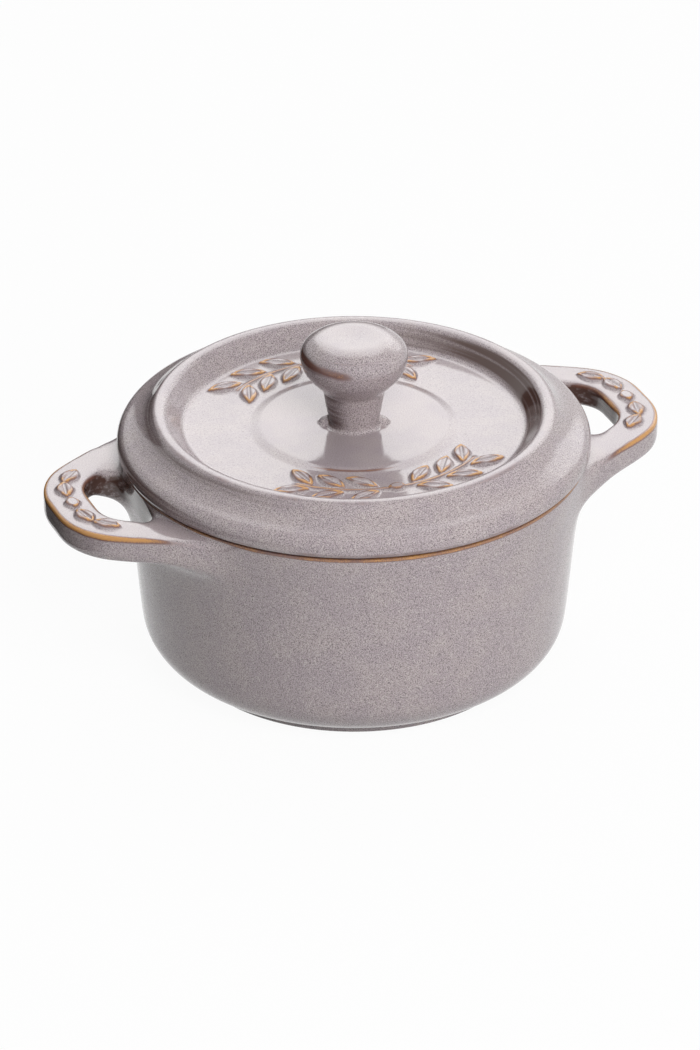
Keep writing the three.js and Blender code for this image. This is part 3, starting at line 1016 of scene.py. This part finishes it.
class COCOTTE_OT_lid(bpy.types.Operator):
    """Models the lid with its knob and raised leaves"""

    bl_idname = "cocotte.lid"
    bl_label = "Lid"

    def execute(self, context):
        sizes = context.scene.cocotte_sizes
        line, disc_top = lid_profile(sizes)
        bm = turned(line, LID_TURN)
        band = [
            e for e in bm.edges
            if all(
                DISC_RADIUS + DISC_RUN < v.co.xy.length < LID_SPRAY_RADIUS + BAND_REACH
                and disc_top - BAND_DEPTH < v.co.z < disc_top
                for v in e.verts
            )
        ]
        bmesh.ops.subdivide_edges(bm, edges=band, cuts=BAND_CUTS, use_grid_fill=True)
        mesh = mesh_of(bm, "glazed_lid")
        broad = LID_BEND * outward_bend(mesh, FINE_SPREAD)
        at = positions(mesh)
        normal = normals(mesh)
        radius = from_axis(at)
        height = at[:, 2] - disc_top
        upward = (normal[:, 2] > UPWARD) & (height < LEVEL_MARGIN)
        band = upward & (radius > DISC_RADIUS) & (radius < sizes.lid_radius / MM - BAND_MARGIN)
        relief = np.maximum(leaf_relief(at, lid_leaves()), stalks(at))
        lift = sizes.leaf_height / MM * relief * band
        for turn in (LUG_ANGLE, LUG_ANGLE + math.pi):
            place = (LUG_PLACE * math.cos(turn), LUG_PLACE * math.sin(turn))
            away = np.hypot(*(at[:, :2] - place).T) / LUG_RADIUS
            dome = LUG_HEIGHT * np.sqrt(np.clip(1 - away ** 2, 0, 1))
            lift += dome * (height > -LEVEL_MARGIN) * (height < LUG_ZONE)
        # painted shade, umber with streaks, on the slopes that look left; the knob's break is the glaze's
        # own
        streak_shade, knob_break = lid_streaks_and_shade(sizes, at, normal, disc_top)
        broad = np.maximum(np.maximum(broad, knob_break), disc_break(at) * upward)
        at[:, 2] += lift
        mesh.vertices.foreach_set("co", at.ravel())
        fine = LEAF_BEND * outward_bend(mesh, FINE_SPREAD) * (relief > 0)
        store(mesh, "bend", np.maximum(broad, fine))
        store(mesh, "streak_shade", streak_shade)
        finish_piece("glazed_lid", mesh, "lid", glaze_once(context.scene.cocotte_colours))
        return {"FINISHED"}


# Lights: place to the right of the pot, towards the camera and up, in metres, then size, watts, and
# whether the gloss shows them
SOFTBOXES = (
    ("back_softbox", (0, -0.98, 0.98), (1.5, 1.9), 25.5, True),
    ("rim_softbox", (0.75, -1.05, 0.7), (0.9, 0.9), 5, True),
    ("top_softbox", (0, 0.1, 1.4), (1.0, 1.0), 4.5, False),
    ("key_softbox", (1.2, 0.75, 0.5), (0.8, 1.1), 9.5, False),
    ("front_softbox", (0.3, 1.0, 0.95), (0.9, 0.9), 27, False),
    ("low_softbox", (0.7, 1.2, 0.35), (0.9, 0.9), 6, False),
)
SOFT_EDGE = 0.3  # share of a softbox over which it dims towards each edge
ROOM_LIGHT = 0.02  # strength of the world's own light
FLOOR_WHITE = 0.95  # share of plain white in the floor, over the paper with its shadows
FLOOR_SIZE = (6, 6)  # in metres

# Felt: place to the right of the pot and towards the camera, and size, in metres, of a low strip that
# stands beside and behind the pot and of a sheet that lies to the left of the picture
STRIP_PLACE = (-0.345, -0.289)
STRIP_SIZE = (1.5, 0.16)
SHEET_PLACE = (-0.41, -0.15)
SHEET_SIZE = (0.6, 0.9)


class CocotteStudio(bpy.types.PropertyGroup):
    """Where the camera stands and what it takes in"""

    azimuth: FloatProperty(
        name="Azimuth", description="Camera's turn", default=math.radians(-22.25), subtype="ANGLE"
    )
    elevation: FloatProperty(
        name="Elevation", description="Camera's height", default=math.radians(28.95), subtype="ANGLE"
    )
    distance: length("Distance", 1.4, "Camera to the middle of the pot")
    middle: length("Middle", 31.38 * MM, "Height that the camera looks at")
    lens: FloatProperty(name="Lens", description="Focal length", default=213.4, unit="CAMERA")
    shift: FloatProperty(name="Shift", description="Sideways shift of the picture", default=-4 / 1050)


def towards(thing, target):
    thing.rotation_euler = (target - thing.location).to_track_quat("-Z", "Y").to_euler()


def add_softbox(name, place, size, energy, shown, target):
    """A rectangle of light that dims towards its edges."""
    light = bpy.data.lights.new(name, "AREA")
    light.shape = "RECTANGLE"
    light.size, light.size_y = size
    light.energy = energy
    light.use_nodes = True
    tree = light.node_tree
    tree.nodes.clear()
    place_on = node(tree, "ShaderNodeNewGeometry").outputs["Parametric"]
    split = node(tree, "ShaderNodeSeparateXYZ", {0: place_on})
    sides = []
    for axis in (0, 1):
        inside = node(tree, "ShaderNodeMath", {0: split.outputs[axis], 1: 0.5}, operation="PINGPONG")
        side = node(
            tree, "ShaderNodeMapRange",
            {"Value": inside.outputs[0], "From Min": 0, "From Max": SOFT_EDGE},
            interpolation_type="SMOOTHSTEP",
        )
        sides.append(side.outputs[0])
    share = node(tree, "ShaderNodeMath", {0: sides[0], 1: sides[1]}, operation="MULTIPLY")
    glow = node(tree, "ShaderNodeEmission", {"Color": (1, 1, 1, 1), "Strength": share.outputs[0]})
    node(tree, "ShaderNodeOutputLight", {"Surface": glow.outputs[0]})
    box = add_object(name, light)
    box.location = place
    box.visible_camera = False
    box.visible_glossy = shown
    towards(box, target)


def black_felt(colours):
    """Black wool felt: matt, and gives back almost none of the light."""
    material, tree = empty_material("black_felt")
    matt = node(tree, "ShaderNodeBsdfDiffuse", {"Color": (*colours.felt, 1), "Roughness": 1})
    node(tree, "ShaderNodeOutputMaterial", {"Surface": matt.outputs[0]})
    return material


def add_sheet(name, size, matrix, material):
    """A flat rectangle of the studio."""
    bm = bmesh.new()
    bmesh.ops.create_grid(bm, x_segments=1, y_segments=1, size=0.5)
    bmesh.ops.scale(bm, vec=(*size, 1), verts=bm.verts)
    bmesh.ops.transform(bm, matrix=matrix, verts=bm.verts)
    mesh = mesh_of(bm, name)
    mesh.materials.append(material)
    return add_object(name, mesh)


def add_felt(name, size, matrix, material):
    """A piece of felt out of the camera's sight, which darkens what the gloss shows of the white room."""
    felt = add_sheet(name, size, matrix, material)
    felt.visible_camera = False
    felt.visible_shadow = False


def studio_world():
    """White where it is seen, and only a faint light on the pot."""
    world = bpy.data.worlds.new("studio")
    world.use_nodes = True
    tree = world.node_tree
    tree.nodes.clear()
    seen = seen_in_picture(tree)
    white = node(tree, "ShaderNodeBackground", {"Color": (1, 1, 1, 1), "Strength": 1})
    soft = node(tree, "ShaderNodeBackground", {"Color": (1, 1, 1, 1), "Strength": ROOM_LIGHT})
    mixed = node(tree, "ShaderNodeMixShader", {0: seen, 1: soft.outputs[0], 2: white.outputs[0]})
    node(tree, "ShaderNodeOutputWorld", {"Surface": mixed.outputs[0]})
    return world


class COCOTTE_OT_studio(bpy.types.Operator):
    """Sets up the floor, the lights and the camera"""

    bl_idname = "cocotte.studio"
    bl_label = "Studio"

    def execute(self, context):
        scene = context.scene
        studio = scene.cocotte_studio
        floor = add_sheet("floor", FLOOR_SIZE, Matrix(), paper_floor(scene.cocotte_colours))

        target = Vector((0, 0, studio.middle))
        a, e = studio.azimuth, studio.elevation
        out = Vector((math.sin(a), -math.cos(a), 0))
        right = Vector((math.cos(a), math.sin(a), 0))
        up = Vector((0, 0, 1))
        for name, (x, y, z), *light in SOFTBOXES:
            add_softbox(name, target + right * x + out * y + up * z, *light, target)
        felt = black_felt(scene.cocotte_colours)
        place = right * STRIP_PLACE[0] + out * STRIP_PLACE[1] + up * (STRIP_SIZE[1] / 2)
        turn = (up * place.z - place).to_track_quat("-Z", "Y").to_matrix().to_4x4()
        add_felt("felt_strip", STRIP_SIZE, Matrix.Translation(place) @ turn, felt)
        place = right * SHEET_PLACE[0] + out * SHEET_PLACE[1] + up * MM
        turn = Matrix.Rotation(a, 4, "Z")
        add_felt("felt_sheet", SHEET_SIZE, Matrix.Translation(place) @ turn, felt)

        camera = add_object("camera", bpy.data.cameras.new("camera"))
        camera.data.lens = studio.lens
        camera.data.shift_x = studio.shift
        camera.location = target + (out * math.cos(e) + up * math.sin(e)) * studio.distance
        towards(camera, target)
        scene.camera = camera
        scene.world = studio_world()
        scene.view_settings.view_transform = "Standard"
        return {"FINISHED"}


class COCOTTE_PT_panel(bpy.types.Panel):
    """Sizes, colours and steps of the cocotte"""

    bl_idname = "COCOTTE_PT_panel"
    bl_label = "Mini Cocotte"
    bl_space_type = "VIEW_3D"
    bl_region_type = "UI"
    bl_category = "Cocotte"

    def draw(self, context):
        layout = self.layout
        for name in GROUPS:
            group = getattr(context.scene, name)
            box = layout.box()
            for field in group.__annotations__:
                box.prop(group, field)
        for step in STEPS:
            layout.operator(step.bl_idname)


STEPS = (COCOTTE_OT_pot, COCOTTE_OT_lid, COCOTTE_OT_studio)
GROUPS = {
    "cocotte_sizes": CocotteSizes,
    "cocotte_colours": CocotteColours,
    "cocotte_studio": CocotteStudio,
}


def register():
    for cls in (*GROUPS.values(), *STEPS, COCOTTE_PT_panel):
        bpy.utils.register_class(cls)
    for name, group in GROUPS.items():
        setattr(bpy.types.Scene, name, PointerProperty(type=group))


def unregister():
    for name in GROUPS:
        delattr(bpy.types.Scene, name)
    for cls in reversed((*GROUPS.values(), *STEPS, COCOTTE_PT_panel)):
        bpy.utils.unregister_class(cls)


def main():
    register()
    bpy.ops.cocotte.pot()
    bpy.ops.cocotte.lid()
    bpy.ops.cocotte.studio()


if __name__ == "__main__":
    main()
